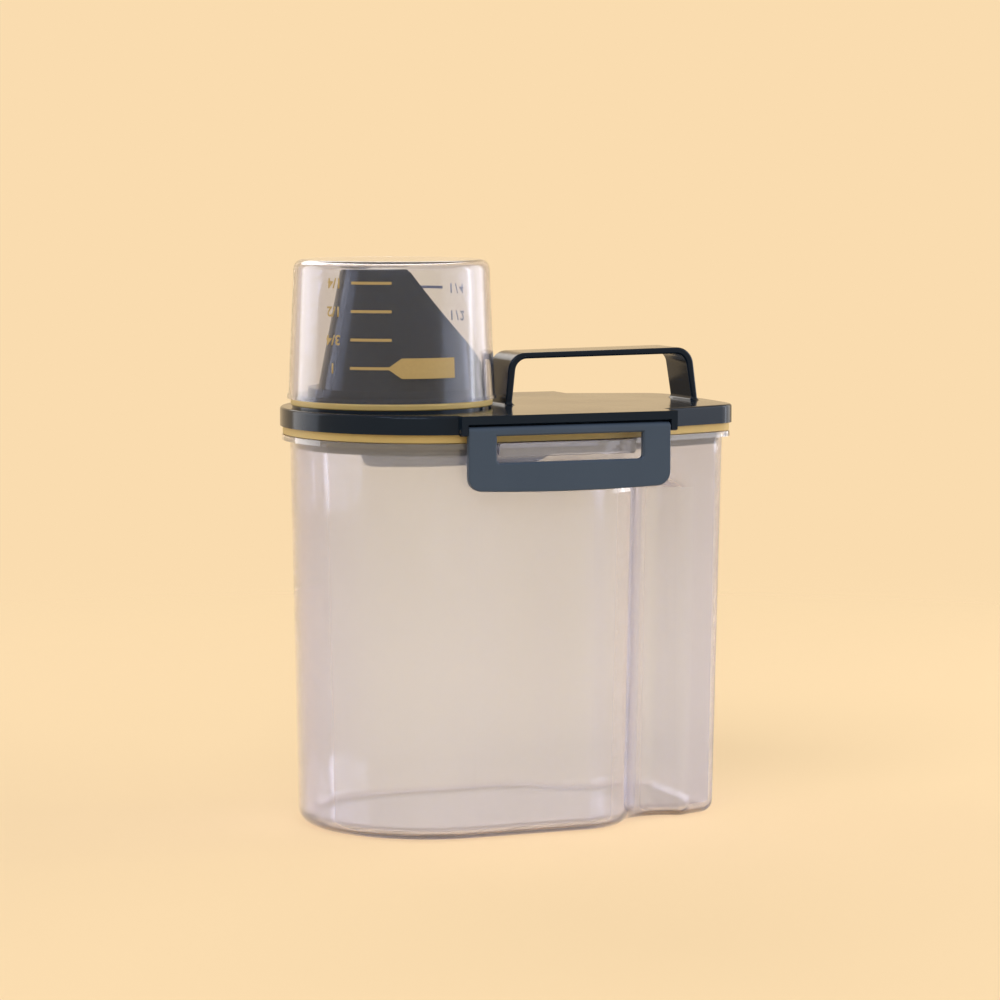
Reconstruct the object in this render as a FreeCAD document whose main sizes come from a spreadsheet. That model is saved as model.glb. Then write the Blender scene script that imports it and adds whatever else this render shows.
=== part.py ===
import FreeCAD, Part
import math
import os
import Sketcher

# Food storage container: clear oval bin, hinged-latch lid with a handle, pour spout and measuring cup.
# Lengths are millimetres, angles degrees. Up is +Z and the pour spout is at -X.

SIZES = {
    # Outline shared by lid, gasket, plug and bin; every part of it is an inset of this one
    "half_width": 64.0,
    "round_x": -34.0,
    "taper_angle": 19.5,
    "bend_radius": 50.0,
    "corner_x": 82.5,
    "corner_y": 29.5,
    "corner_radius": 14.0,
    "crown_radius": 305.0,
    # Waist groove for the hand, one on each side
    "waist_x": 57.5,
    "waist_y": 54.0,
    "waist_front_x": 19.2,
    "waist_front_radius": 35.5,
    "waist_back_radius": 15.0,
    "waist_split_front": 45.0,
    "waist_split_back": 68.0,
    "waist_top": 146.0,
    "shoulder_top": 160.0,
    # Bin
    "base_inset": 7.55,
    "rim_inset": 4.15,
    "rim_top": 169.5,
    "bin_wall": 2.0,
    "floor_thickness": 3.0,
    "base_round": 5.8,
    "cavity_round": 3.6,
    "flange_inset": 0.8,
    "flange_bottom": 167.2,
    "recess_front_x": 18.0,
    "recess_radius": 43.0,
    "recess_depth": 0.8,
    "catch_centre_x": 4.2,
    "catch_half_length": 31.4,
    "catch_bottom": 163.6,
    "catch_face": 66.0,
    "catch_root": 56.0,
    "catch_round": 1.5,
    "catch_edge_round": 0.4,
    # Lid
    "lid_bottom": 173.2,
    "lid_top": 181.3,
    "deck_thickness": 2.5,
    "skirt_thickness": 2.2,
    "plug_inset": 6.6,
    "plug_wall": 2.0,
    "plug_bottom": 164.0,
    "lid_edge_round": 1.2,
    "throat_x": -48.0,
    "throat_hole_radius": 34.7,
    # Gasket between the lid and the bin rim
    "gasket_inset": 1.2,
    "gasket_inner_inset": 6.55,
    "gasket_bottom": 169.8,
    "gasket_tongue_inset": 2.3,
    "gasket_tongue_top": 176.2,
    # Hinge rails and pins on the lid
    "rail_centre_x": 4.8,
    "rail_half_length": 49.4,
    "rail_face": 67.5,
    "rail_root": 52.0,
    "rail_bottom": 177.0,
    "rail_slope_start": 65.4,
    "rail_slope_reach": 69.5,
    "rail_slope_rise": 1.5,
    "lug_width": 2.8,
    "lug_bore_radius": 0.92,
    "hinge_y": 65.5,
    "hinge_z": 174.7,
    "barrel_radius": 2.0,
    "barrel_relief_y": 63.1,
    "pin_radius": 0.9,
    # Latches, measured from the hinge axis
    "latch_half_length": 46.3,
    "latch_side_drop": 24.9,
    "latch_bow_radius": 890.0,
    "latch_corner_round": 6.0,
    "latch_thickness": 2.6,
    "latch_bore_radius": 0.97,
    "slot_half_length": 33.5,
    "slot_top_drop": 2.1,
    "slot_bottom_drop": 13.4,
    "slot_round": 1.6,
    "slot_bevel": 0.7,
    "latch_edge_round": 0.6,
    # Handle
    "handle_half_width": 11.5,
    "handle_front_crown": 203.9,
    "handle_back_crown": 205.0,
    "handle_front_inner_crown": 201.3,
    "handle_back_inner_crown": 202.2,
    "handle_front_foot_outer": -2.1,
    "handle_front_top_outer": 0.0,
    "handle_front_foot_inner": 0.9,
    "handle_front_top_inner": 3.2,
    "handle_back_foot_outer": 90.3,
    "handle_back_top_outer": 87.0,
    "handle_back_foot_inner": 87.6,
    "handle_back_top_inner": 84.0,
    "handle_outer_round": 8.0,
    "handle_inner_round": 5.5,
    "handle_edge_round": 0.9,
    "handle_foot_round": 1.6,
    # Pour spout
    "cup_x": -50.6,
    "spout_flange_radius": 43.0,
    "spout_flange_top": 182.3,
    "spout_neck_radius": 39.0,
    "spout_lip_radius": 41.8,
    "spout_lip_bottom": 185.0,
    "spout_lip_top": 187.0,
    "spout_step_radius": 38.6,
    "spout_step_top": 190.0,
    "spout_plug_radius": 34.6,
    "spout_plug_bottom": 175.5,
    "throat_radius": 32.5,
    "spout_low_x": -46.5,
    "spout_low_radius": 36.5,
    "spout_high_x": -44.0,
    "spout_high_radius": 28.0,
    "spout_wall": 2.0,
    "spout_top": 242.0,
    "scoop_start_x": -53.5,
    "scoop_end_x": -6.0,
    "scoop_end_z": 193.6,
    "scoop_radius": 165.0,
    # Seal ring under the cup
    "seal_inner_radius": 39.1,
    "seal_outer_radius": 43.6,
    "seal_round": 0.7,
    # Measuring cup, upside down over the spout
    "cup_mouth": 185.3,
    "cup_top": 245.0,
    "cup_mouth_radius": 44.6,
    "cup_top_radius": 42.1,
    "cup_lip_radius": 45.2,
    "cup_lip_height": 1.6,
    "cup_wall": 1.8,
    "cup_round": 4.5,
    "cup_inner_round": 2.7,
}


class Size:
    """A number together with the sheet expression that gives it."""

    def __init__(self, value, text):
        self.value = value
        self.text = text

    def join(self, other, sign, value):
        return Size(value, "(" + self.text + sign + other.text + ")")

    def __add__(self, other):
        return self.join(other, " + ", self.value + other.value)

    def __sub__(self, other):
        return self.join(other, " - ", self.value - other.value)

    def __mul__(self, other):
        return self.join(other, " * ", self.value * other.value)

    def __truediv__(self, other):
        return self.join(other, " / ", self.value / other.value)

    def __neg__(self):
        return Size(-self.value, "-1 * " + self.text)


def size(name):
    return Size(SIZES[name], "Sizes." + name)


ZERO = Size(0.0, "0")
TWO = Size(2.0, "2")
# How far a cut runs past the face that it starts or ends at
PAST = Size(2.0, "2")
# Largest difference between two places that count as the same
CLOSE = 0.01

document = FreeCAD.newDocument("food_container")


def write_sheet():
    sheet = document.addObject("Spreadsheet::Sheet", "Sizes")
    for row, (name, value) in enumerate(SIZES.items(), start=1):
        sheet.set("A%d" % row, name)
        sheet.set("B%d" % row, str(value))
        sheet.setAlias("B%d" % row, name)
    document.recompute()


def new_body(name):
    body = document.addObject("PartDesign::Body", name)
    body.Label = name
    return body


def origin_plane(body, role):
    return next(item for item in body.Origin.OriginFeatures if item.Role == role)


def new_sketch(body, label, plane, offset):
    sketch = body.newObject("Sketcher::SketchObject", label)
    sketch.AttachmentSupport = [(origin_plane(body, plane), "")]
    sketch.MapMode = "FlatFace"
    sketch.setExpression("AttachmentOffset.Base.z", offset.text)
    return sketch


def drive(sketch, name, kind, where, value):
    index = sketch.addConstraint(Sketcher.Constraint(kind, *where, value.value))
    sketch.renameConstraint(index, name)
    sketch.setExpression("Constraints." + name, value.text)


def drive_point(sketch, name, geometry, point, x, y):
    """Ties a point to the sketch origin, measuring from whichever end gives a positive distance."""
    for axis, value in (("X", x), ("Y", y)):
        if value.value < 0:
            where = (geometry, point, -1, 1)
            value = -value
        else:
            where = (-1, 1, geometry, point)
        drive(sketch, name + "_" + axis.lower(), "Distance" + axis, where, value)


def arc(x, y, radius, first, last):
    circle = Part.Circle(FreeCAD.Vector(x, y, 0), FreeCAD.Vector(0, 0, 1), radius)
    return Part.ArcOfCircle(circle, math.radians(first), math.radians(last))


def line(start, end):
    return Part.LineSegment(FreeCAD.Vector(*start, 0), FreeCAD.Vector(*end, 0))


def on_circle(x, y, radius, angle):
    turn = math.radians(angle)
    return (x + radius * math.cos(turn), y + radius * math.sin(turn))


# Outline of the container. One side is worked out for +Y and mirrored for -Y.

def side_arcs(inset, waisted):
    """Arcs of one side from the round end to the square end: centre, radius, end angles, name."""
    angle = math.radians(SIZES["taper_angle"])
    normal = (math.sin(angle), math.cos(angle))
    corner = (SIZES["corner_x"], SIZES["corner_y"])
    corner_radius = SIZES["corner_radius"]
    reach = normal[0] * corner[0] + normal[1] * corner[1] + corner_radius
    tilt = 90.0 - SIZES["taper_angle"]
    crown_run = math.sqrt((SIZES["crown_radius"] - corner_radius) ** 2 - corner[1] ** 2)
    crown_angle = math.degrees(math.atan2(corner[1], crown_run))
    corner_arc = ("corner", corner[0], corner[1], corner_radius - inset, tilt, crown_angle)
    if not waisted:
        radius = SIZES["bend_radius"]
        y = SIZES["half_width"] - radius
        x = (reach - radius - normal[1] * y) / normal[0]
        return [("bend", x, y, radius - inset, 90.0, tilt), corner_arc]
    front = (SIZES["waist_front_x"], SIZES["half_width"] - SIZES["waist_front_radius"])
    waist = (SIZES["waist_x"], SIZES["waist_y"])
    waist_radius = math.dist(front, waist) - SIZES["waist_front_radius"]
    back_radius = SIZES["waist_back_radius"]
    drop = back_radius - corner_radius
    start = (corner[0] - normal[0] * drop - waist[0], corner[1] - normal[1] * drop - waist[1])
    along = start[0] * normal[1] - start[1] * normal[0]
    gap = start[0] ** 2 + start[1] ** 2 - (waist_radius + back_radius) ** 2
    run = -along + math.sqrt(along ** 2 - gap)
    back = (waist[0] + start[0] + run * normal[1], waist[1] + start[1] - run * normal[0])
    front_angle = math.degrees(math.atan2(waist[1] - front[1], waist[0] - front[0]))
    back_angle = math.degrees(math.atan2(waist[1] - back[1], waist[0] - back[0]))
    return [
        ("front", front[0], front[1], SIZES["waist_front_radius"] - inset, 90.0, front_angle),
        ("waist", waist[0], waist[1], waist_radius + inset, front_angle + 180.0, back_angle + 180.0),
        ("back", back[0], back[1], back_radius - inset, back_angle, tilt),
        corner_arc,
    ]


def side_pieces(inset, shape):
    """Named curves of the +Y side in order, as (name, points or arc values)."""
    arcs = side_arcs(inset, shape == "waisted")
    ends = [on_circle(x, y, radius, angle) for _, x, y, radius, _, angle in arcs]
    starts = [on_circle(x, y, radius, angle) for _, x, y, radius, angle, _ in arcs]
    pieces = [("side", (SIZES["round_x"], SIZES["half_width"] - inset), starts[0])]
    for item in arcs[:-1]:
        pieces.append(item)
    stops = [ends[-2]]
    if shape == "split":
        slope = math.tan(math.radians(SIZES["taper_angle"]))
        for name in ("waist_split_front", "waist_split_back"):
            x = SIZES[name]
            stops.append((x, ends[-2][1] - (x - ends[-2][0]) * slope))
    stops.append(starts[-1])
    for number in range(len(stops) - 1):
        pieces.append(("taper%d" % number, stops[number], stops[number + 1]))
    pieces.append(arcs[-1])
    return pieces


def place_piece(piece, side):
    if len(piece) == 3:
        _, start, end = piece
        return line((start[0], side * start[1]), (end[0], side * end[1]))
    _, x, y, radius, first, last = piece
    low, high = sorted((side * first, side * last))
    return arc(x, side * y, radius, low, high)


def junction(first, second):
    """Which ends of two neighbouring curves meet."""
    ends = ((1, "StartPoint"), (2, "EndPoint"))
    gaps = []
    for number, name in ends:
        for other_number, other_name in ends:
            gap = getattr(first, name).distanceToPoint(getattr(second, other_name))
            gaps.append((gap, number, other_number))
    return min(gaps)[1:]


def outline_loop(sketch, tag, inset, shape):
    """Adds one closed outline at the given inset and drives it from the sheet."""
    pieces = side_pieces(inset.value, shape)
    crown_angle = pieces[-1][5]
    crown_x = SIZES["corner_x"] - math.sqrt(
        (SIZES["crown_radius"] - SIZES["corner_radius"]) ** 2 - SIZES["corner_y"] ** 2)
    curves = [("round", 0, arc(SIZES["round_x"], 0, SIZES["half_width"] - inset.value, 90, 270))]
    for piece in pieces:
        curves.append((piece[0], -1, place_piece(piece, -1)))
    crown = arc(crown_x, 0, SIZES["crown_radius"] - inset.value, -crown_angle, crown_angle)
    curves.append(("crown", 0, crown))
    for piece in reversed(pieces):
        curves.append((piece[0], 1, place_piece(piece, 1)))
    numbers = [sketch.addGeometry(curve) for _, _, curve in curves]
    for place, number in enumerate(numbers):
        after = (place + 1) % len(numbers)
        ends = junction(curves[place][2], curves[after][2])
        sketch.addConstraint(Sketcher.Constraint("Tangent", number, ends[0], numbers[after], ends[1]))
    for (name, side, curve), number in zip(curves, numbers):
        mark = tag + "_" + name + {0: "", -1: "_near", 1: "_far"}[side]
        drive_curve(sketch, mark, name, side, curve, number, inset)


def drive_curve(sketch, mark, name, side, curve, number, inset):
    """Constraints of one outline curve."""
    if name == "round":
        drive_point(sketch, mark, number, 3, size("round_x"), ZERO)
        drive(sketch, mark + "_radius", "Radius", (number,), size("half_width") - inset)
    elif name == "crown":
        drive(sketch, mark + "_radius", "Radius", (number,), size("crown_radius") - inset)
    elif name == "side":
        sketch.addConstraint(Sketcher.Constraint("Horizontal", number))
    elif name == "corner":
        y = size("corner_y") if side > 0 else -size("corner_y")
        drive_point(sketch, mark, number, 3, size("corner_x"), y)
        drive(sketch, mark + "_radius", "Radius", (number,), size("corner_radius") - inset)
    elif name == "bend":
        drive(sketch, mark + "_radius", "Radius", (number,), size("bend_radius") - inset)
    elif name == "front":
        drive(sketch, mark + "_radius", "Radius", (number,), size("waist_front_radius") - inset)
        drive(sketch, mark + "_x", "DistanceX", (-1, 1, number, 3), size("waist_front_x"))
    elif name == "waist":
        y = size("waist_y") if side > 0 else -size("waist_y")
        drive_point(sketch, mark, number, 3, size("waist_x"), y)
    elif name == "back":
        drive(sketch, mark + "_radius", "Radius", (number,), size("waist_back_radius") - inset)
    elif name == "taper0":
        run = curve.EndPoint - curve.StartPoint
        index = sketch.addConstraint(Sketcher.Constraint("Angle", number, math.atan2(run.y, run.x)))
        sketch.renameConstraint(index, mark + "_angle")
        slope = -size("taper_angle") if side > 0 else size("taper_angle")
        sketch.setExpression("Constraints." + mark + "_angle", slope.text)
    else:
        split = "waist_split_front" if name == "taper1" else "waist_split_back"
        drive(sketch, mark + "_x", "DistanceX", (-1, 1, number, 1), size(split))


def outline_sketch(body, label, level, inset, shape="plain", inner=None):
    """Closed outline on a level plane, with an optional second outline inside it."""
    sketch = new_sketch(body, label, "XY_Plane", level)
    outline_loop(sketch, "outer", inset, shape)
    if inner is not None:
        outline_loop(sketch, "inner", inner, shape)
    return sketch


def polygon_sketch(body, label, plane, offset, points):
    sketch = new_sketch(body, label, plane, offset)
    count = len(points)
    for place in range(count):
        start, end = points[place], points[(place + 1) % count]
        sketch.addGeometry(line((start[0].value, start[1].value), (end[0].value, end[1].value)))
    for place in range(count):
        sketch.addConstraint(Sketcher.Constraint("Coincident", place, 2, (place + 1) % count, 1))
    for place, (x, y) in enumerate(points):
        drive_point(sketch, "point%d" % place, place, 1, x, y)
    return sketch


def box_sketch(body, label, plane, offset, left, right, low, high):
    points = [(left, low), (right, low), (right, high), (left, high)]
    return polygon_sketch(body, label, plane, offset, points)


def bowed_sketch(body, label, offset, radius, corners):
    """Upright outline: straight lines from corner to corner, closed by an arc back to the first."""
    sketch = new_sketch(body, label, "XZ_Plane", offset)
    count = len(corners)
    places = [(x.value, z.value) for x, z in corners]
    start, end = places[-1], places[0]
    chord = (end[0] - start[0], end[1] - start[1])
    length = math.hypot(*chord)
    rise = math.sqrt(radius.value ** 2 - length ** 2 / 4)
    x = (start[0] + end[0]) / 2 - chord[1] / length * rise
    z = (start[1] + end[1]) / 2 + chord[0] / length * rise
    first = math.degrees(math.atan2(start[1] - z, start[0] - x))
    last = math.degrees(math.atan2(end[1] - z, end[0] - x))
    sketch.addGeometry(arc(x, z, radius.value, first, last))
    for one, two in zip(places, places[1:]):
        sketch.addGeometry(line(one, two))
    for number in range(count):
        sketch.addConstraint(Sketcher.Constraint("Coincident", number, 2, (number + 1) % count, 1))
    for number, corner in enumerate(corners[:-1], start=1):
        drive_point(sketch, "corner%d" % number, number, 1, *corner)
    drive_point(sketch, "corner%d" % count, count - 1, 2, *corners[-1])
    drive(sketch, "bow_radius", "Radius", (0,), radius)
    return sketch


def circle_sketch(body, label, plane, offset, x, y, *radii):
    sketch = new_sketch(body, label, plane, offset)
    centre = FreeCAD.Vector(x.value, y.value, 0)
    for number, radius in enumerate(radii):
        sketch.addGeometry(Part.Circle(centre, FreeCAD.Vector(0, 0, 1), radius.value))
        drive_point(sketch, "centre%d" % number, number, 3, x, y)
        drive(sketch, "radius%d" % number, "Radius", (number,), radius)
    return sketch


def round_section(body, label, z, x, radius):
    """Level circle centred on the middle plane."""
    return circle_sketch(body, label, "XY_Plane", z, x, ZERO, radius)


def oval_sketch(body, label, offset, left, right, radius):
    """Two half circles joined by straight sides."""
    sketch = new_sketch(body, label, "XY_Plane", offset)
    sketch.addGeometry(arc(left.value, 0, radius.value, 90, 270))
    sketch.addGeometry(line((left.value, -radius.value), (right.value, -radius.value)))
    sketch.addGeometry(arc(right.value, 0, radius.value, -90, 90))
    sketch.addGeometry(line((right.value, radius.value), (left.value, radius.value)))
    for number in range(4):
        sketch.addConstraint(Sketcher.Constraint("Tangent", number, 2, (number + 1) % 4, 1))
    sketch.addConstraint(Sketcher.Constraint("Equal", 0, 2))
    drive_point(sketch, "left", 0, 3, left, ZERO)
    drive_point(sketch, "right", 2, 3, right, ZERO)
    drive(sketch, "radius", "Radius", (0,), radius)
    return sketch


# Feature helpers

def extrude(body, kind, label, sketch, length, symmetric=False, backward=False):
    feature = body.newObject("PartDesign::" + kind, label)
    feature.Profile = sketch
    feature.setExpression("Length", length.text)
    if symmetric:
        feature.Midplane = True
    feature.Reversed = backward
    document.recompute()
    return feature


def loft(body, kind, label, sketches):
    """Straight-sided loft through sections listed from the bottom up; it starts at the top one."""
    feature = body.newObject("PartDesign::" + kind, label)
    feature.Profile = sketches[-1]
    feature.Sections = sketches[-2::-1]
    feature.Ruled = True
    document.recompute()
    return feature


def edges(feature, wanted):
    chosen = []
    for number, edge in enumerate(feature.Shape.Edges, start=1):
        if wanted(edge):
            chosen.append("Edge%d" % number)
    return chosen


def soften(body, kind, label, base, amount, wanted):
    """Rounds or bevels the edges of the last feature that pass the test."""
    feature = body.newObject("PartDesign::" + kind, label)
    feature.Base = (base, edges(base, wanted))
    prop = "Radius" if kind == "Fillet" else "Size"
    feature.setExpression(prop, amount.text)
    document.recompute()
    return feature


def mirror(body, label, originals):
    """Repeats features on the other side of the middle plane."""
    feature = body.newObject("PartDesign::Mirrored", label)
    feature.Originals = originals
    feature.MirrorPlane = (origin_plane(body, "XZ_Plane"), [""])
    body.Tip = feature
    document.recompute()
    return feature


# Tests that choose edges for rounding

def close(first, second):
    return abs(first - second) < CLOSE


def level(edge, z):
    """The edge lies in the level plane at z."""
    return close(edge.BoundBox.ZMin, z) and close(edge.BoundBox.ZMax, z)


def on_side(edge, y):
    """The edge lies in the upright plane at y, or in the one at -y."""
    return edge.BoundBox.YLength < CLOSE and close(abs(edge.BoundBox.YMin), y)


def runs_along_y(edge):
    box = edge.BoundBox
    return box.XLength < CLOSE and box.ZLength < CLOSE and box.YLength > CLOSE


def within_x(edge, reach):
    """The edge stays between -reach and reach along X."""
    return max(abs(edge.BoundBox.XMin), abs(edge.BoundBox.XMax)) < reach + CLOSE


def within_y(edge, reach):
    return max(abs(edge.BoundBox.YMin), abs(edge.BoundBox.YMax)) < reach + CLOSE


def at_either_level(edge, first, second):
    return runs_along_y(edge) and (level(edge, SIZES[first]) or level(edge, SIZES[second]))


def set_place(body, x, y, z, turned=False):
    body.setExpression("Placement.Base.x", x.text)
    body.setExpression("Placement.Base.y", y.text)
    body.setExpression("Placement.Base.z", z.text)
    if turned:
        body.Placement.Rotation = FreeCAD.Rotation(FreeCAD.Vector(0, 0, 1), 180)


# Bin

def wall_inset(z):
    """Inset of the drafted bin wall at a height."""
    lean = size("base_inset") - size("rim_inset")
    return size("base_inset") - lean * z / size("rim_top")


def bin_sections(body, name, first, extra):
    """Sections from the floor to the rim: waisted below the shoulder, plain above it."""
    stations = [
        (first, "waisted"), (size("waist_top"), "waisted"),
        (size("shoulder_top"), "split"), (size("rim_top"), "split"),
    ]
    made = []
    for number, (height, shape) in enumerate(stations):
        label = "%s_section_%d" % (name, number)
        made.append(outline_sketch(body, label, height, wall_inset(height) + extra, shape))
    return made


def build_bin():
    body = new_body("bin_shell")
    outside = loft(body, "AdditiveLoft", "bin_outside", bin_sections(body, "outside", ZERO, ZERO))
    soften(body, "Fillet", "base_rounding", outside, size("base_round"), lambda e: level(e, 0))
    flange_sketch = outline_sketch(
        body, "flange_outline", size("flange_bottom"), size("flange_inset"))
    extrude(body, "Pad", "rim_flange", flange_sketch, size("rim_top") - size("flange_bottom"))
    cavity_sections = bin_sections(body, "inside", size("floor_thickness"), size("bin_wall"))
    cavity = loft(body, "SubtractiveLoft", "bin_cavity", cavity_sections)
    floor = SIZES["floor_thickness"]
    soften(body, "Fillet", "floor_rounding", cavity, size("cavity_round"), lambda e: level(e, floor))
    recess_sketch = oval_sketch(
        body, "recess_outline", ZERO, size("round_x"), size("recess_front_x"), size("recess_radius"))
    extrude(body, "Pocket", "underside_recess", recess_sketch, size("recess_depth"), backward=True)
    return body


def build_catch(name, side):
    """Bar under the rim that a latch closes round; its back follows the wall and the rim flange."""
    body = new_body(name)
    left = size("catch_centre_x") - size("catch_half_length")
    right = size("catch_centre_x") + size("catch_half_length")
    bottom, top = size("catch_bottom"), size("rim_top")
    start = size("catch_root") if side < 0 else -size("catch_face")
    sketch = box_sketch(body, name + "_outline", "XZ_Plane", start, left, right, bottom, top)
    bar = extrude(body, "Pad", name + "_bar", sketch, size("catch_face") - size("catch_root"))
    corners = soften(body, "Fillet", name + "_corners", bar, size("catch_round"), runs_along_y)
    face = SIZES["catch_face"]
    soften(body, "Fillet", name + "_edges", corners, size("catch_edge_round"), lambda e: on_side(e, face))
    flange = outline_sketch(body, name + "_flange_line", size("flange_bottom"), size("flange_inset"))
    extrude(body, "Pocket", name + "_flange_cut", flange, top - bottom, backward=True)
    wall = outline_sketch(body, name + "_wall_line", bottom - PAST, size("rim_inset"))
    extrude(body, "Pocket", name + "_wall_cut", wall, size("flange_bottom") - bottom + PAST, backward=True)
    return body


# Lid

def build_lid():
    body = new_body("lid_cover")
    top, bottom = size("lid_top"), size("lid_bottom")
    plate_sketch = outline_sketch(body, "lid_outline", bottom, ZERO)
    plate = extrude(body, "Pad", "lid_plate", plate_sketch, top - bottom)
    soften(
        body, "Fillet", "lid_edge_rounding", plate, size("lid_edge_round"),
        lambda e: level(e, SIZES["lid_top"]))
    add_hinge_rails(body)
    hollow_sketch = outline_sketch(body, "hollow_outline", bottom, size("skirt_thickness"))
    extrude(
        body, "Pocket", "lid_hollow", hollow_sketch, top - bottom - size("deck_thickness"), backward=True)
    plug_sketch = outline_sketch(
        body, "plug_outline", size("plug_bottom"), size("plug_inset"),
        inner=size("plug_inset") + size("plug_wall"))
    extrude(body, "Pad", "plug_ring", plug_sketch, top - size("plug_bottom") - size("deck_thickness") / TWO)
    throat = round_section(body, "throat_outline", bottom, size("throat_x"), size("throat_hole_radius"))
    extrude(body, "Pocket", "throat_hole", throat, top - bottom + PAST, backward=True)
    add_handle(body)
    return body


def add_hinge_rails(body):
    """Rail with end lugs along each side; the latch barrel sits in the relief between the lugs."""
    half = size("rail_half_length")
    left = size("rail_centre_x") - half
    right = size("rail_centre_x") + half
    block_sketch = box_sketch(
        body, "rail_block", "XZ_Plane", size("rail_root"), left, right, size("lid_bottom"), size("lid_top"))
    block = extrude(body, "Pad", "rail_block_pad", block_sketch, size("rail_face") - size("rail_root"))
    lug_sketch = circle_sketch(
        body, "lug_outline", "YZ_Plane", left, -size("hinge_y"), size("hinge_z"), size("barrel_radius"))
    lug = extrude(body, "Pad", "lug_round", lug_sketch, TWO * half)
    low, high = size("lid_bottom") - PAST, size("rail_bottom")
    reach, back = -size("rail_slope_reach"), -size("barrel_relief_y")
    points = [
        (back, low), (back, high), (-size("rail_slope_start"), high),
        (reach, high + size("rail_slope_rise")), (reach, low),
    ]
    relief_sketch = polygon_sketch(body, "relief_profile", "YZ_Plane", left + size("lug_width"), points)
    relief = extrude(
        body, "Pocket", "barrel_relief", relief_sketch, TWO * (half - size("lug_width")), backward=True)
    bore_sketch = circle_sketch(
        body, "bore_outline", "YZ_Plane", left - PAST, -size("hinge_y"), size("hinge_z"),
        size("lug_bore_radius"))
    bore = extrude(body, "Pocket", "lug_bore", bore_sketch, TWO * (half + PAST), backward=True)
    mirror(body, "far_rail", [block, lug, relief, bore])


def add_handle(body):
    """Fixed carrying strap standing on the deck."""
    foot = size("lid_top") - size("deck_thickness") / TWO
    points = [
        (size("handle_front_foot_outer"), foot), (size("handle_front_foot_inner"), foot),
        (size("handle_front_top_inner"), size("handle_front_inner_crown")),
        (size("handle_back_top_inner"), size("handle_back_inner_crown")),
        (size("handle_back_foot_inner"), foot), (size("handle_back_foot_outer"), foot),
        (size("handle_back_top_outer"), size("handle_back_crown")),
        (size("handle_front_top_outer"), size("handle_front_crown")),
    ]
    sketch = polygon_sketch(body, "handle_profile", "XZ_Plane", ZERO, points)
    strap = extrude(body, "Pad", "handle_strap", sketch, TWO * size("handle_half_width"), symmetric=True)
    outer = soften(
        body, "Fillet", "handle_outer_corners", strap, size("handle_outer_round"),
        lambda e: at_either_level(e, "handle_front_crown", "handle_back_crown"))
    inner = soften(
        body, "Fillet", "handle_inner_corners", outer, size("handle_inner_round"),
        lambda e: at_either_level(e, "handle_front_inner_crown", "handle_back_inner_crown"))
    half = SIZES["handle_half_width"]
    deck = SIZES["lid_top"]
    front = SIZES["handle_front_foot_outer"]
    sides = soften(
        body, "Fillet", "handle_edge_rounding", inner, size("handle_edge_round"),
        lambda e: on_side(e, half) and e.BoundBox.ZMax > deck + CLOSE)
    soften(
        body, "Fillet", "handle_foot_rounding", sides, size("handle_foot_round"),
        lambda e: level(e, deck) and e.BoundBox.XMin > front and within_y(e, half))


# Gasket between lid and bin

def build_gasket():
    body = new_body("lid_gasket")
    bottom = size("gasket_bottom")
    inner = size("gasket_inner_inset")
    ring = outline_sketch(body, "gasket_outline", bottom, size("gasket_inset"), inner=inner)
    extrude(body, "Pad", "gasket_ring", ring, size("lid_bottom") - bottom)
    tongue = outline_sketch(
        body, "tongue_outline", size("lid_bottom"), size("gasket_tongue_inset"), inner=inner)
    extrude(body, "Pad", "gasket_tongue", tongue, size("gasket_tongue_top") - size("lid_bottom"))
    return body


# Pour spout

def build_spout():
    body = new_body("pour_spout")
    centre, throat = size("cup_x"), size("throat_x")
    deck, lip, top = size("lid_top"), size("spout_lip_bottom"), size("spout_top")
    disc(body, "spout_flange", deck, size("spout_flange_top"), centre, size("spout_flange_radius"))
    disc(body, "spout_neck", deck, lip, centre, size("spout_neck_radius"))
    disc(body, "seal_lip", lip, size("spout_lip_top"), centre, size("spout_lip_radius"))
    disc(body, "spout_step", lip, size("spout_step_top"), throat, size("spout_step_radius"))
    disc(body, "throat_plug", size("spout_plug_bottom"), deck, throat, size("spout_plug_radius"))
    high_x, high_radius = size("spout_high_x"), size("spout_high_radius")
    outside = [
        round_section(body, "funnel_low", lip, size("spout_low_x"), size("spout_low_radius")),
        round_section(body, "funnel_high", top, high_x, high_radius),
    ]
    loft(body, "AdditiveLoft", "funnel", outside)
    inside = [
        round_section(body, "bore_bottom", size("spout_plug_bottom"), throat, size("throat_radius")),
        round_section(body, "bore_low", size("spout_lip_top"), throat, size("throat_radius")),
        round_section(body, "bore_high", top, high_x, high_radius - size("spout_wall")),
    ]
    loft(body, "SubtractiveLoft", "funnel_bore", inside)
    add_scoop(body)
    return body


def disc(body, label, low, high, x, radius):
    sketch = round_section(body, label + "_outline", low, x, radius)
    return extrude(body, "Pad", label, sketch, high - low)


def add_scoop(body):
    """Concave cut that leaves a pouring lip on the left of the funnel."""
    start_x, end_x = size("scoop_start_x"), size("scoop_end_x")
    top = size("spout_top") + PAST
    corners = [
        (end_x, size("scoop_end_z")), (end_x, top),
        (start_x, top), (start_x, size("spout_top")),
    ]
    sketch = bowed_sketch(body, "scoop_profile", ZERO, size("scoop_radius"), corners)
    extrude(body, "Pocket", "scoop", sketch, TWO * size("spout_neck_radius"), symmetric=True)


# Seal ring under the cup

def build_seal():
    body = new_body("spout_seal")
    low, high = size("spout_flange_top"), size("spout_lip_bottom")
    ring = circle_sketch(
        body, "seal_outline", "XY_Plane", ZERO, ZERO, ZERO, size("seal_outer_radius"),
        size("seal_inner_radius"))
    pad = extrude(body, "Pad", "seal_ring", ring, high - low)
    outer = SIZES["seal_outer_radius"]
    soften(
        body, "Fillet", "seal_rounding", pad, size("seal_round"),
        lambda e: close(e.BoundBox.XMax, outer) and e.BoundBox.ZLength < CLOSE)
    set_place(body, size("cup_x"), ZERO, low)
    return body


# Measuring cup

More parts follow.
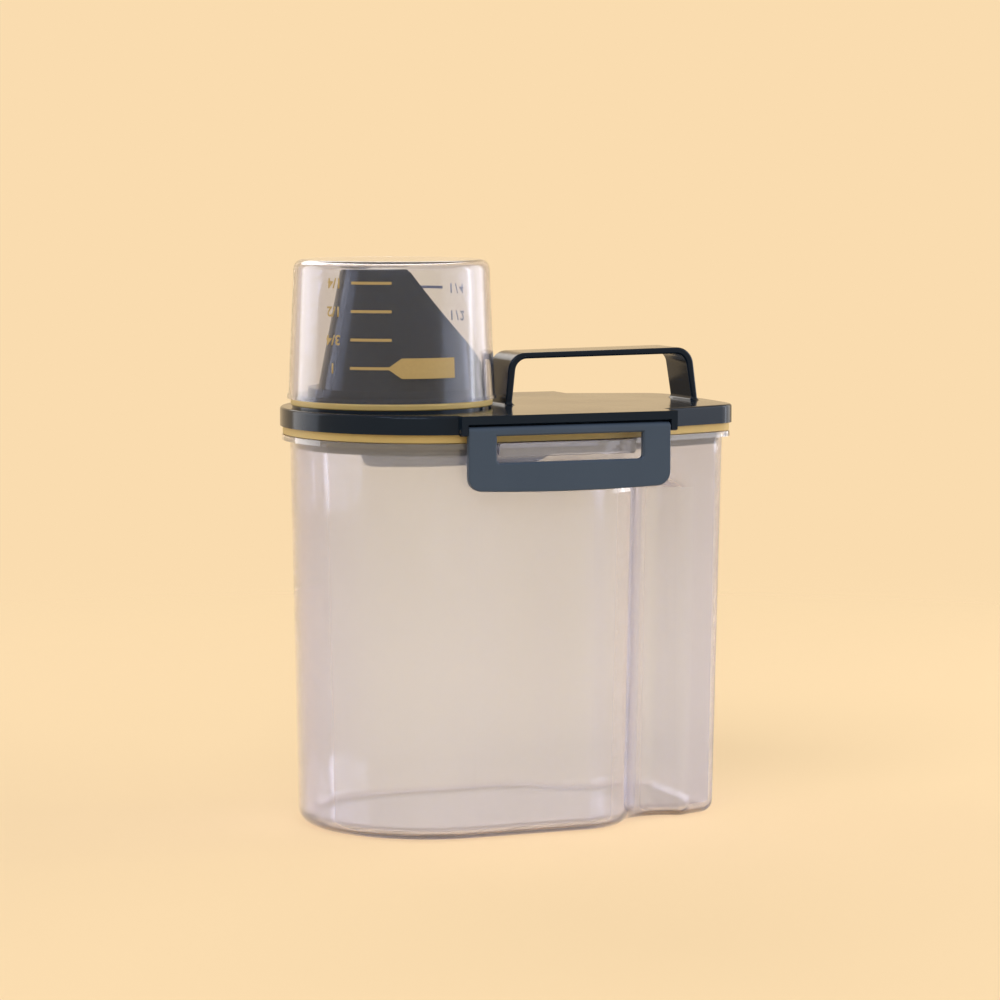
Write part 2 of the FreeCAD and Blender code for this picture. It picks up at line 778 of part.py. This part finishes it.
def build_cup():
    body = new_body("measuring_cup")
    height = size("cup_top") - size("cup_mouth")
    lip = size("cup_lip_height")
    wall = size("cup_wall")
    points = [
        (ZERO, height), (ZERO, height - wall), (size("cup_top_radius") - wall, height - wall),
        (size("cup_mouth_radius") - wall, ZERO), (size("cup_lip_radius"), ZERO),
        (size("cup_lip_radius"), lip), (size("cup_mouth_radius"), lip), (size("cup_top_radius"), height),
    ]
    sketch = polygon_sketch(body, "cup_profile", "XZ_Plane", ZERO, points)
    turned = body.newObject("PartDesign::Revolution", "cup_wall")
    turned.Profile = sketch
    turned.ReferenceAxis = (sketch, ["V_Axis"])
    turned.Angle = 360
    document.recompute()
    tall = height.value
    inner = tall - wall.value
    outer = soften(body, "Fillet", "cup_end_rounding", turned, size("cup_round"), lambda e: level(e, tall))
    soften(body, "Fillet", "cup_inner_rounding", outer, size("cup_inner_round"), lambda e: level(e, inner))
    set_place(body, size("cup_x"), ZERO, size("cup_mouth"))
    return body


# Latches and hinge pins, one of each on both sides

def build_latch(name, side):
    """Swinging plate with a slot that closes round the catch bar; modelled about its hinge axis."""
    body = new_body(name)
    half, drop, radius = size("latch_half_length"), size("latch_side_drop"), size("barrel_radius")
    corners = [(half, -drop), (half, ZERO), (-half, ZERO), (-half, -drop)]
    sketch = bowed_sketch(
        body, name + "_outline", radius - size("latch_thickness"), size("latch_bow_radius"), corners)
    plate = extrude(body, "Pad", name + "_plate", sketch, size("latch_thickness"))
    reach, low, face = half.value, -drop.value, radius.value
    soften(
        body, "Fillet", name + "_corners", plate, size("latch_corner_round"),
        lambda e: runs_along_y(e) and close(e.BoundBox.ZMin, low) and close(abs(e.BoundBox.XMin), reach))
    barrel = circle_sketch(body, name + "_barrel_outline", "YZ_Plane", ZERO, ZERO, ZERO, radius)
    hinge = extrude(body, "Pad", name + "_barrel", barrel, TWO * half, symmetric=True)
    corner_top = low + SIZES["latch_corner_round"]
    soften(
        body, "Fillet", name + "_edge_rounding", hinge, size("latch_edge_round"),
        lambda e: on_side(e, face) and e.BoundBox.ZMin < corner_top + 1.0)
    cut_slot(body, name, face)
    bore_sketch = circle_sketch(
        body, name + "_bore_outline", "YZ_Plane", ZERO, ZERO, ZERO, size("latch_bore_radius"))
    extrude(body, "Pocket", name + "_bore", bore_sketch, TWO * (half + PAST), symmetric=True)
    y = size("hinge_y") if side > 0 else -size("hinge_y")
    set_place(body, size("rail_centre_x"), y, size("hinge_z"), turned=side > 0)
    return body


def cut_slot(body, name, face):
    """Slot for the catch bar, with round lower corners and a bevel all round on the outside."""
    half, low = size("slot_half_length"), -size("slot_bottom_drop")
    sketch = box_sketch(
        body, name + "_slot_outline", "XZ_Plane", ZERO, -half, half, low, -size("slot_top_drop"))
    slot = extrude(
        body, "Pocket", name + "_slot", sketch, TWO * (size("barrel_radius") + PAST), symmetric=True)
    rounded = soften(
        body, "Fillet", name + "_slot_corners", slot, size("slot_round"),
        lambda e: runs_along_y(e) and within_x(e, half.value) and close(e.BoundBox.ZMin, low.value))
    soften(
        body, "Chamfer", name + "_slot_bevel", rounded, size("slot_bevel"),
        lambda e: on_side(e, face) and within_x(e, half.value) and e.BoundBox.ZMax < -face)


def build_pin(name, side):
    body = new_body(name)
    sketch = circle_sketch(body, name + "_outline", "YZ_Plane", ZERO, ZERO, ZERO, size("pin_radius"))
    extrude(body, "Pad", name + "_wire", sketch, TWO * size("rail_half_length"), symmetric=True)
    y = size("hinge_y") if side > 0 else -size("hinge_y")
    set_place(body, size("rail_centre_x"), y, size("hinge_z"))
    return body


def build_all():
    write_sheet()
    parts = [build_bin(), build_lid(), build_gasket(), build_spout(), build_seal(), build_cup()]
    for name, side in (("front", -1), ("rear", 1)):
        parts.append(build_catch(name + "_catch", side))
        parts.append(build_latch(name + "_latch", side))
        parts.append(build_pin(name + "_hinge_pin", side))
    document.recompute()
    return parts


def check_objects():
    for item in document.Objects:
        if "Invalid" in item.State or "Error" in item.State:
            raise RuntimeError("feature failed: " + item.Name)


def export(parts):
    os.makedirs("parts", exist_ok=True)
    for body in parts:
        shape = body.Shape
        if shape.isNull() or not shape.isValid() or len(shape.Solids) != 1:
            raise RuntimeError("bad solid: " + body.Label)
        shape.exportStep("parts/" + body.Label + ".step")


all_parts = build_all()
check_objects()
export(all_parts)
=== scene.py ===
import bmesh
import bpy
import math
from mathutils import Euler, Matrix, Vector


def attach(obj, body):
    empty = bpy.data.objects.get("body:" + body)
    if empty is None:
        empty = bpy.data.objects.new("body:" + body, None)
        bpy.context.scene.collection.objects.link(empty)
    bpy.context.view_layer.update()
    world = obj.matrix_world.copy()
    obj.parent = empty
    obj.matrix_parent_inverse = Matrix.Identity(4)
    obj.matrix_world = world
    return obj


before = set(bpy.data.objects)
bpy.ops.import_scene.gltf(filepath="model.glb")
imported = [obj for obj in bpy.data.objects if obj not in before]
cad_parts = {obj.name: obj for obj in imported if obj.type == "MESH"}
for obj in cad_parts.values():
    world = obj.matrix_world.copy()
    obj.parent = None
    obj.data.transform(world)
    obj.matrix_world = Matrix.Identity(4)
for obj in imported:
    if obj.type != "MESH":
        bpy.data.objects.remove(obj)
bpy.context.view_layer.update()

bl_info = {
    "name": "Dry Food Container",
    "version": (1, 0, 0),
    "blender": (4, 5, 0),
    "location": "View3D > Sidebar > Container",
    "description": "Dresses a clear food container with slate lid, gold seals and printed cup",
    "category": "Object",
}


def linear(red, green, blue):
    """Screen colour from 0 to 255 as the linear colour that Blender works in."""
    channels = []
    for level in (red, green, blue):
        part = level / 255.0
        channels.append(part / 12.92 if part <= 0.04045 else ((part + 0.055) / 1.055) ** 2.4)
    return (*channels, 1.0)


def colour_property(name, description, shade):
    return bpy.props.FloatVectorProperty(
        name=name, description=description, subtype="COLOR", size=4, min=0.0, max=1.0,
        default=linear(*shade))


def length_property(name, description, value):
    return bpy.props.FloatProperty(
        name=name, description=description, default=value, unit="LENGTH", subtype="DISTANCE", precision=5)


def angle_property(name, description, degrees):
    return bpy.props.FloatProperty(
        name=name, description=description, default=math.radians(degrees), unit="ROTATION", subtype="ANGLE")


def share_property(name, description, value):
    return bpy.props.FloatProperty(
        name=name, description=description, default=value, min=0.0, max=1.0, subtype="FACTOR")


class ContainerFinish(bpy.types.PropertyGroup):
    slate: colour_property("Dark slate", "Glossy plastic of the lid and spout", (18, 29, 42))
    latch: colour_property("Latch slate", "Satin plastic of the latches", (66, 79, 97))
    clear: colour_property("Bin plastic", "Clear plastic of the bin seen square on", (238, 242, 255))
    cup: colour_property("Cup plastic", "Clear plastic of the cup seen square on", (234, 240, 255))
    # edge is painted shade: the darker lavender that the bin and cup plastic are given where seen at a
    # slant
    edge: colour_property("Clear plastic edge", "Clear plastic seen at a slant", (201, 198, 220))
    shadow: colour_property("Clear plastic shadow", "Light that one skin lets through", (244, 244, 248))
    seal: colour_property("Seal", "Gasket and seal ring silicone", (196, 168, 106))
    print_near: colour_property("Near print", "Scale on the front of the cup", (176, 151, 98))
    print_far: colour_property("Far print", "Scale on the back of the cup", (128, 130, 138))
    pin: colour_property("Pin", "Hinge pin wire", (190, 190, 192))
    bin_haze: share_property("Bin haze", "How milky the bin's plastic is", 0.12)
    cup_haze: share_property("Cup haze", "How milky the cup's plastic is", 0.015)


class CupScale(bpy.types.PropertyGroup):
    axis_x: length_property("Cup axis", "Position of the cup's axis along X", -0.0506)
    lip_top: length_property("Lip top", "Height where the straight wall starts", 0.1869)
    lip_radius: length_property("Wall radius at the lip", "Outer radius at that height", 0.0446)
    end_top: length_property("Closed end", "Height of the closed end", 0.245)
    end_radius: length_property("Wall radius at the end", "Outer radius at the closed end", 0.0421)
    step: length_property("Mark spacing", "Height between two quarter marks", 0.01193)
    top_mark: length_property("First mark", "Height of the quarter mark nearest the closed end", 0.236)
    mark_width: length_property("Mark thickness", "Width of a printed line", 0.0012)
    ink: length_property("Ink thickness", "How far the print stands out", 0.00006)
    digit: length_property("Figure height", "Height of the printed figures", 0.0042)
    mark_start: angle_property("Mark start", "Angle where a mark begins, about the cup's axis", -134.0)
    mark_end: angle_property("Mark end", "Angle where a mark ends", -110.5)
    figure_place: angle_property("Figure place", "Angle of the figures' middle", -145.0)
    far_turn: angle_property("Far scale turn", "Turn from the near scale to the far one", 170.5)
    far_drop: length_property("Far scale drop", "How far the far scale stands below the near one", 0.0045)
    tag_point: angle_property("Tag point", "Angle of the pointer tag's tip", -113.0)
    tag_start: angle_property("Tag start", "Angle where the tag's straight part begins", -105.0)
    tag_end: angle_property("Tag end", "Angle where the tag ends", -73.5)
    tag_half: length_property("Tag half height", "Half the height of the tag", 0.0043)


class StudioSettings(bpy.types.PropertyGroup):
    backdrop: colour_property("Backdrop", "Plain colour behind and below the container", (250, 220, 175))
    lens: bpy.props.FloatProperty(name="Lens", description="Focal length", default=131.66, unit="CAMERA")
    yaw: angle_property("Yaw", "Camera heading, clockwise from +Y", 22.227)
    pitch: angle_property("Pitch", "Camera tilt below level", 5.467)
    roll: angle_property("Roll", "Camera roll", 0.067)
    world_light: bpy.props.FloatProperty(
        name="Room light", description="Strength of the even room light", default=0.6)
    key_light: bpy.props.FloatProperty(
        name="Key light", description="Power of the large soft light", default=12.6, unit="POWER")


# Materials

# Gloss of each plastic: the tint is of what it mirrors when it is seen square on
BIN_GLOSS = {"Specular Tint": (0.4, 0.45, 0.6, 1.0), "Coat Weight": 0.9, "Coat Roughness": 0.06}
CUP_GLOSS = {"Specular Tint": (0.1, 0.12, 0.17, 1.0), "Coat Weight": 0.4, "Coat Roughness": 0.25}
SLATE_GLOSS = {"Specular Tint": (0.6, 0.73, 1.0, 1.0), "Specular IOR Level": 0.22}
LATCH_GLOSS = {"Specular Tint": (0.6, 0.73, 1.0, 1.0), "Specular IOR Level": 0.25}


class Field:
    """A number that changes over a surface, built up with ordinary arithmetic."""

    def __init__(self, shader, socket):
        self.shader = shader
        self.socket = socket

    def maths(self, operation, *values):
        node = self.shader.node("ShaderNodeMath", {"operation": operation}, dict(enumerate(values)))
        return Field(self.shader, node.outputs[0])

    def __add__(self, other):
        return self.maths("ADD", self, other)

    __radd__ = __add__

    def __mul__(self, other):
        return self.maths("MULTIPLY", self, other)

    __rmul__ = __mul__


class Shader:
    """A new node material and the calls that add its nodes."""

    def __init__(self, name):
        self.material = bpy.data.materials.new(name)
        self.material.use_nodes = True
        self.tree = self.material.node_tree
        self.tree.nodes.clear()
        self.output = self.tree.nodes.new("ShaderNodeOutputMaterial")

    def node(self, kind, settings=None, values=None):
        node = self.tree.nodes.new(kind)
        for name, setting in (settings or {}).items():
            setattr(node, name, setting)
        for name, value in (values or {}).items():
            if isinstance(value, Field):
                self.tree.links.new(value.socket, node.inputs[name])
            else:
                node.inputs[name].default_value = value
        return node

    def place(self):
        return Field(self, self.node("ShaderNodeTexCoord").outputs["Object"])

    def noise(self, scale, detail, stretch=(1.0, 1.0, 1.0)):
        mapped = self.node("ShaderNodeMapping", {}, {"Vector": self.place(), "Scale": stretch})
        values = {"Vector": Field(self, mapped.outputs[0]), "Scale": scale, "Detail": detail}
        return Field(self, self.node("ShaderNodeTexNoise", {}, values).outputs[0])

    def mix(self, amount, first, second):
        """Colour between two colours."""
        values = {0: amount, 6: first, 7: second}
        return Field(self, self.node("ShaderNodeMix", {"data_type": "RGBA"}, values).outputs[2])

    def bump(self, height, strength, distance):
        values = {"Height": height, "Strength": strength, "Distance": distance}
        return Field(self, self.node("ShaderNodeBump", {}, values).outputs[0])

    def surface(self, values):
        shader = self.node("ShaderNodeBsdfPrincipled", {}, values)
        self.tree.links.new(shader.outputs[0], self.output.inputs["Surface"])
        return shader

    def pass_shadow(self, body, tint):
        """Lets light through to what stands inside or behind, with a pale shadow."""
        path = self.node("ShaderNodeLightPath")
        clear = self.node("ShaderNodeBsdfTransparent", {}, {"Color": tint})
        mixed = self.node("ShaderNodeMixShader", {}, {0: Field(self, path.outputs["Is Shadow Ray"])})
        self.tree.links.new(body.outputs[0], mixed.inputs[1])
        self.tree.links.new(clear.outputs[0], mixed.inputs[2])
        self.tree.links.new(mixed.outputs[0], self.output.inputs["Surface"])


def shade(colour, amount):
    """The colour made lighter or darker."""
    return (*(min(1.0, channel * amount) for channel in colour[:3]), 1.0)


def slate_material(name, colour, gloss, rough):
    """Moulded slate plastic: fine grain and faint flow marks."""
    shader = Shader(name)
    flow = shader.noise(22.0, 3.0, (1.0, 1.0, 0.35))
    grain = shader.noise(2600.0, 2.0)
    tint = shader.mix(flow, shade(colour, 0.86), shade(colour, 1.12))
    shader.surface({
        "Base Color": tint,
        "Roughness": rough + 0.12 * flow,
        "IOR": 1.5,
        "Normal": shader.bump(grain, 0.05, 0.0002),
        **gloss,
    })
    return shader.material


def clear_material(name, finish, colour, haze, gloss):
    """Clear moulded plastic: a slightly milky body under a gloss, with painted shade that turns it darker
    and more lavender where it is seen at a slant.
    """
    shader = Shader(name)
    flow = shader.noise(14.0, 2.0, (1.0, 1.0, 0.25))
    # Painted shade: the base colour turns to the darker edge colour where the surface is seen at a slant
    painted_slant_shade = Field(shader, shader.node("ShaderNodeLayerWeight", {}, {"Blend": 0.5}).outputs["Facing"])
    body = shader.surface({
        "Base Color": shader.mix(painted_slant_shade, colour, finish.edge),
        "Roughness": 0.03 * flow,
        "IOR": 1.49,
        "Transmission Weight": 1.0 - haze,
        "Subsurface Weight": 1.0,
        "Subsurface Radius": (1.0, 1.0, 1.0),
        "Subsurface Scale": 0.006,
        "Normal": shader.bump(flow, 0.02, 0.0004),
        **gloss,
    })
    shader.pass_shadow(body, finish.shadow)
    return shader.material


def silicone_material(colour):
    """Gold silicone: soft sheen, fine dusty mottling."""
    shader = Shader("seal_silicone")
    mottle = shader.noise(160.0, 4.0)
    grain = shader.noise(1800.0, 2.0)
    tint = shader.mix(mottle, shade(colour, 0.88), shade(colour, 1.08))
    shader.surface({
        "Base Color": tint,
        "Roughness": 0.38 + 0.2 * mottle,
        "IOR": 1.42,
        "Subsurface Weight": 0.08,
        "Normal": shader.bump(grain, 0.08, 0.0002),
    })
    return shader.material


def wire_material(colour):
    """Drawn steel wire with fine lengthwise lines."""
    shader = Shader("pin_steel")
    lines = shader.noise(900.0, 2.0, (0.02, 1.0, 1.0))
    shader.surface({
        "Base Color": shader.mix(lines, shade(colour, 0.85), colour),
        "Metallic": 1.0,
        "Roughness": 0.25 + 0.15 * lines,
    })
    return shader.material


def ink_material(name, colour):
    """Screen-printed ink: slightly uneven and matt."""
    shader = Shader(name)
    uneven = shader.noise(700.0, 3.0)
    shader.surface({
        "Base Color": shader.mix(uneven, shade(colour, 0.9), shade(colour, 1.06)),
        "Roughness": 0.42 + 0.15 * uneven,
    })
    return shader.material


def dress(node, material):
    for slot in bpy.data.objects[node].material_slots:
        slot.material = material


class CONTAINER_OT_slate(bpy.types.Operator):
    """Finish the lid, the pour spout and both latches"""
    bl_idname = "container.slate"
    bl_label = "Slate Plastic"

    def execute(self, context):
        finish = context.scene.container_finish
        glossy = slate_material("slate_plastic", finish.slate, SLATE_GLOSS, 0.08)
        satin = slate_material("latch_plastic", finish.latch, LATCH_GLOSS, 0.26)
        for node in ("lid_cover", "pour_spout"):
            dress(node, glossy)
        for node in ("front_latch", "rear_latch"):
            dress(node, satin)
        return {"FINISHED"}


class CONTAINER_OT_clear(bpy.types.Operator):
    """Finish the bin, its catch bars and the measuring cup"""
    bl_idname = "container.clear"
    bl_label = "Clear Plastic"

    def execute(self, context):
        finish = context.scene.container_finish
        bin_plastic = clear_material("clear_plastic", finish, finish.clear, finish.bin_haze, BIN_GLOSS)
        cup_plastic = clear_material("cup_plastic", finish, finish.cup, finish.cup_haze, CUP_GLOSS)
        for node in ("bin_shell", "front_catch", "rear_catch"):
            dress(node, bin_plastic)
        dress("measuring_cup", cup_plastic)
        return {"FINISHED"}


class CONTAINER_OT_seals(bpy.types.Operator):
    """Finish the gasket, the seal ring and the hinge pins"""
    bl_idname = "container.seals"
    bl_label = "Seals and Pins"

    def execute(self, context):
        finish = context.scene.container_finish
        silicone = silicone_material(finish.seal)
        wire = wire_material(finish.pin)
        for node in ("lid_gasket", "spout_seal"):
            dress(node, silicone)
        for node in ("front_hinge_pin", "rear_hinge_pin"):
            dress(node, wire)
        return {"FINISHED"}


# Printed scale of the measuring cup

FIGURES = ("1/4", "1/2", "3/4", "1")
# Width of the upright strips that flat print is cut into, so that it bends round the cup
STRIP = 0.001


def wall_radius(scale, height):
    run = (height - scale.lip_top) / (scale.end_top - scale.lip_top)
    return scale.lip_radius + (scale.end_radius - scale.lip_radius) * run


def wrap_on_cup(mesh, scale, turn):
    """Lays a flat mesh on the cup wall: x is the distance round it, y the height, z the ink's thickness."""
    for vertex in mesh.verts:
        around, height, proud = vertex.co
        angle = around / scale.lip_radius + turn
        radius = wall_radius(scale, height) + proud
        vertex.co = (scale.axis_x + radius * math.cos(angle), radius * math.sin(angle), height)


def divide_across(mesh, width):
    """Cuts a flat mesh into narrow upright strips so that it can bend round the cup."""
    low = min(vertex.co.x for vertex in mesh.verts)
    high = max(vertex.co.x for vertex in mesh.verts)
    count = int((high - low) / width)
    for number in range(1, count + 1):
        bmesh.ops.bisect_plane(
            mesh, geom=mesh.verts[:] + mesh.edges[:] + mesh.faces[:], dist=1e-7,
            plane_co=(low + number * width, 0, 0), plane_no=(1, 0, 0))


def thicken(mesh, ink):
    """Gives flat print its thickness."""
    bmesh.ops.recalc_face_normals(mesh, faces=mesh.faces[:])
    if mesh.faces[:] and mesh.faces[:][0].normal.z < 0:
        bmesh.ops.reverse_faces(mesh, faces=mesh.faces[:])
    grown = bmesh.ops.extrude_face_region(mesh, geom=mesh.faces[:], use_keep_orig=True)
    raised = [item for item in grown["geom"] if isinstance(item, bmesh.types.BMVert)]
    bmesh.ops.translate(mesh, vec=(0, 0, ink), verts=raised)
    bmesh.ops.recalc_face_normals(mesh, faces=mesh.faces[:])


def add_print(name, mesh, scale, turn, material):
    divide_across(mesh, STRIP)
    thicken(mesh, scale.ink)
    wrap_on_cup(mesh, scale, turn)
    data = bpy.data.meshes.new(name)
    mesh.to_mesh(data)
    mesh.free()
    data.materials.append(material)
    piece = bpy.data.objects.new(name, data)
    bpy.context.scene.collection.objects.link(piece)
    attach(piece, "cup")


def bar_shape(mesh, left, right, low, high):
    """A flat upright rectangle."""
    made = bmesh.ops.create_grid(mesh, x_segments=1, y_segments=1, size=0.5)
    bmesh.ops.scale(mesh, vec=(right - left, high - low, 1), verts=made["verts"])
    bmesh.ops.translate(mesh, vec=((left + right) / 2, (low + high) / 2, 0), verts=made["verts"])
    return made["verts"]


def figure_mesh(text, height, spacing, centre_x, centre_y):
    """Flat mesh of a figure, turned upside down because the cup stands on its mouth."""
    curve = bpy.data.curves.new("figure", "FONT")
    curve.body = text
    curve.size = height * 1.4
    curve.offset = height * 0.03
    curve.space_character = spacing
    curve.align_x = "CENTER"
    curve.align_y = "CENTER"
    source = bpy.data.objects.new("figure", curve)
    data = bpy.data.meshes.new_from_object(source)
    mesh = bmesh.new()
    mesh.from_mesh(data)
    bmesh.ops.remove_doubles(mesh, verts=mesh.verts[:], dist=1e-6)
    bmesh.ops.rotate(mesh, cent=(0, 0, 0), matrix=Matrix.Rotation(math.pi, 3, "Z"), verts=mesh.verts[:])
    bmesh.ops.translate(mesh, vec=(centre_x, centre_y, 0), verts=mesh.verts[:])
    bpy.data.objects.remove(source)
    bpy.data.curves.remove(curve)
    bpy.data.meshes.remove(data)
    return mesh


class CONTAINER_OT_scale(bpy.types.Operator):
    """Print the quarter marks, figures and pointer tag on the measuring cup"""
    bl_idname = "container.cup_scale"
    bl_label = "Cup Scale"

    def execute(self, context):
        scale = context.scene.container_scale
        finish = context.scene.container_finish
        near = ink_material("print_gold", finish.print_near)
        far = ink_material("print_grey", finish.print_far)
        far_top = scale.top_mark - scale.far_drop
        for side, turn, top, spacing, material in (
                ("near", 0.0, scale.top_mark, 1.0, near), ("far", scale.far_turn, far_top, 1.4, far)):
            self.marks(side, scale, turn, top, material)
            self.figures(side, scale, turn, top, spacing, material)
        self.tag(scale, near)
        return {"FINISHED"}

    def marks(self, side, scale, turn, top, material):
        mesh = bmesh.new()
        half = scale.mark_width / 2
        left = scale.mark_start * scale.lip_radius
        right = scale.mark_end * scale.lip_radius
        for number in range(len(FIGURES)):
            height = top - number * scale.step
            bar_shape(mesh, left, right, height - half, height + half)
        add_print("cup_marks_" + side, mesh, scale, turn, material)

    def figures(self, side, scale, turn, top, spacing, material):
        middle = scale.figure_place * scale.lip_radius
        for number, text in enumerate(FIGURES):
            mesh = figure_mesh(text, scale.digit, spacing, middle, top - number * scale.step)
            add_print("cup_figure_%s_%d" % (side, number + 1), mesh, scale, turn, material)

    def tag(self, scale, material):
        """Bare pointer tag at the full mark."""
        mesh = bmesh.new()
        height = scale.top_mark - (len(FIGURES) - 1) * scale.step
        left = scale.tag_start * scale.lip_radius
        right = scale.tag_end * scale.lip_radius
        corners = bar_shape(mesh, left, right, height - scale.tag_half, height + scale.tag_half)
        pair = [vertex for vertex in corners if vertex.co.x < (left + right) / 2]
        edge = next(edge for edge in mesh.edges if all(vertex in pair for vertex in edge.verts))
        point = bmesh.ops.subdivide_edges(mesh, edges=[edge], cuts=1)
        middle = next(item for item in point["geom_inner"] if isinstance(item, bmesh.types.BMVert))
        middle.co.x = scale.tag_point * scale.lip_radius
        add_print("cup_tag", mesh, scale, 0.0, material)


# Stage

# Soft lights: name, power as a share of the key light's, size, place, the point that each one faces
LIGHTS = (
    ("key_light", 1.0, (1.4, 1.0), (-0.9, -1.1, 1.5), (0, 0, 0.12)),
    ("right_light", 1.35, (2.4, 1.1), (1.45, -0.35, 0.56), (0, 0, 0.3)),
    ("right_strip", 0.22, (0.16, 1.1), (1.45, -0.2, 0.56), (0, 0, 0.3)),
    ("left_light", 0.65, (1.0, 1.1), (-1.19, 1.0, 0.56), (0, 0, 0.3)),
    ("back_light", 0.4, (1.2, 0.6), (0.2, 1.5, 1.1), (0, 0, 0.15)),
)
FLOOR_RADIUS = 1.2
# Distance from the container where the floor begins and ends to fade into the backdrop
FADE_START = 0.35
FADE_END = 1.1
CAMERA_PLACE = (-0.6039, -1.4778, 0.2917)


def area_light(name, power, size, place, target):
    data = bpy.data.lights.new(name, "AREA")
    data.shape = "RECTANGLE"
    data.size, data.size_y = size
    data.energy = power
    light = bpy.data.objects.new(name, data)
    light.location = place
    light.visible_camera = False
    light.rotation_euler = (Vector(target) - Vector(place)).to_track_quat("-Z", "Y").to_euler()
    bpy.context.scene.collection.objects.link(light)


def floor_material(colour):
    """Plain floor that fades into the backdrop away from the container."""
    shader = Shader("floor_plain")
    grain = shader.noise(6.0, 2.0)
    distance = shader.node("ShaderNodeVectorMath", {"operation": "LENGTH"}, {0: shader.place()})
    fade = shader.node("ShaderNodeMapRange", {"interpolation_type": "SMOOTHSTEP"}, {
        "Value": Field(shader, distance.outputs["Value"]),
        "From Min": FADE_START,
        "From Max": FADE_END,
        "To Min": 1.0,
        "To Max": 0.0,
    })
    shader.surface({
        "Base Color": shader.mix(grain, shade(colour, 0.995), colour),
        "Roughness": 0.9,
        "Specular IOR Level": 0.0,
        "Alpha": Field(shader, fade.outputs[0]),
    })
    return shader.material


def build_world(studio):
    """Plain coloured surround with even white light."""
    world = bpy.data.worlds.new("studio_world")
    bpy.context.scene.world = world
    world.use_nodes = True
    nodes, links = world.node_tree.nodes, world.node_tree.links
    nodes.clear()
    output = nodes.new("ShaderNodeOutputWorld")
    light, seen = nodes.new("ShaderNodeBackground"), nodes.new("ShaderNodeBackground")
    light.inputs["Strength"].default_value = studio.world_light
    seen.inputs["Color"].default_value = studio.backdrop
    path = nodes.new("ShaderNodeLightPath")
    shown = path.outputs["Is Camera Ray"]
    for kind in ("Is Transmission Ray", "Is Glossy Ray"):
        either = nodes.new("ShaderNodeMath")
        either.operation = "MAXIMUM"
        links.new(shown, either.inputs[0])
        links.new(path.outputs[kind], either.inputs[1])
        shown = either.outputs[0]
    mixed = nodes.new("ShaderNodeMixShader")
    links.new(shown, mixed.inputs[0])
    links.new(light.outputs[0], mixed.inputs[1])
    links.new(seen.outputs[0], mixed.inputs[2])
    links.new(mixed.outputs[0], output.inputs["Surface"])


class CONTAINER_OT_stage(bpy.types.Operator):
    """Set up the floor, the lights and the camera"""
    bl_idname = "container.stage"
    bl_label = "Stage"

    def execute(self, context):
        studio = context.scene.container_studio
        mesh = bmesh.new()
        bmesh.ops.create_circle(mesh, cap_ends=True, segments=96, radius=FLOOR_RADIUS)
        data = bpy.data.meshes.new("stage_floor")
        mesh.to_mesh(data)
        mesh.free()
        data.materials.append(floor_material(studio.backdrop))
        floor = bpy.data.objects.new("stage_floor", data)
        context.scene.collection.objects.link(floor)
        build_world(studio)
        for name, share, size, place, target in LIGHTS:
            area_light(name, studio.key_light * share, size, place, target)
        self.camera(context, studio)
        context.scene.view_settings.view_transform = "Standard"
        return {"FINISHED"}

    def camera(self, context, studio):
        data = bpy.data.cameras.new("photo_camera")
        data.lens = studio.lens
        data.sensor_width = 36.0
        camera = bpy.data.objects.new("photo_camera", data)
        camera.location = CAMERA_PLACE
        level = Euler((math.pi / 2 - studio.pitch, 0, -studio.yaw)).to_matrix()
        camera.rotation_euler = (level @ Matrix.Rotation(studio.roll, 3, "Z")).to_euler()
        context.scene.collection.objects.link(camera)
        context.scene.camera = camera


class CONTAINER_PT_panel(bpy.types.Panel):
    """Lists the container's finishes and stage"""
    bl_idname = "CONTAINER_PT_panel"
    bl_label = "Dry Food Container"
    bl_space_type = "VIEW_3D"
    bl_region_type = "UI"
    bl_category = "Container"

    def draw(self, context):
        for operator in OPERATORS:
            self.layout.operator(operator.bl_idname)
        for group in ("container_finish", "container_scale", "container_studio"):
            box = self.layout.box()
            settings = getattr(context.scene, group)
            for name in settings.__annotations__:
                box.prop(settings, name)


GROUPS = {
    "container_finish": ContainerFinish,
    "container_scale": CupScale,
    "container_studio": StudioSettings,
}
OPERATORS = (
    CONTAINER_OT_slate,
    CONTAINER_OT_clear,
    CONTAINER_OT_seals,
    CONTAINER_OT_scale,
    CONTAINER_OT_stage,
)


def register():
    for group in GROUPS.values():
        bpy.utils.register_class(group)
    for operator in OPERATORS:
        bpy.utils.register_class(operator)
    bpy.utils.register_class(CONTAINER_PT_panel)
    for name, group in GROUPS.items():
        setattr(bpy.types.Scene, name, bpy.props.PointerProperty(type=group))


def unregister():
    for name in GROUPS:
        delattr(bpy.types.Scene, name)
    bpy.utils.unregister_class(CONTAINER_PT_panel)
    for operator in reversed(OPERATORS):
        bpy.utils.unregister_class(operator)
    for group in reversed(GROUPS.values()):
        bpy.utils.unregister_class(group)


def main():
    register()
    bpy.ops.container.slate()
    bpy.ops.container.clear()
    bpy.ops.container.seals()
    bpy.ops.container.cup_scale()
    bpy.ops.container.stage()


if __name__ == "__main__":
    main()
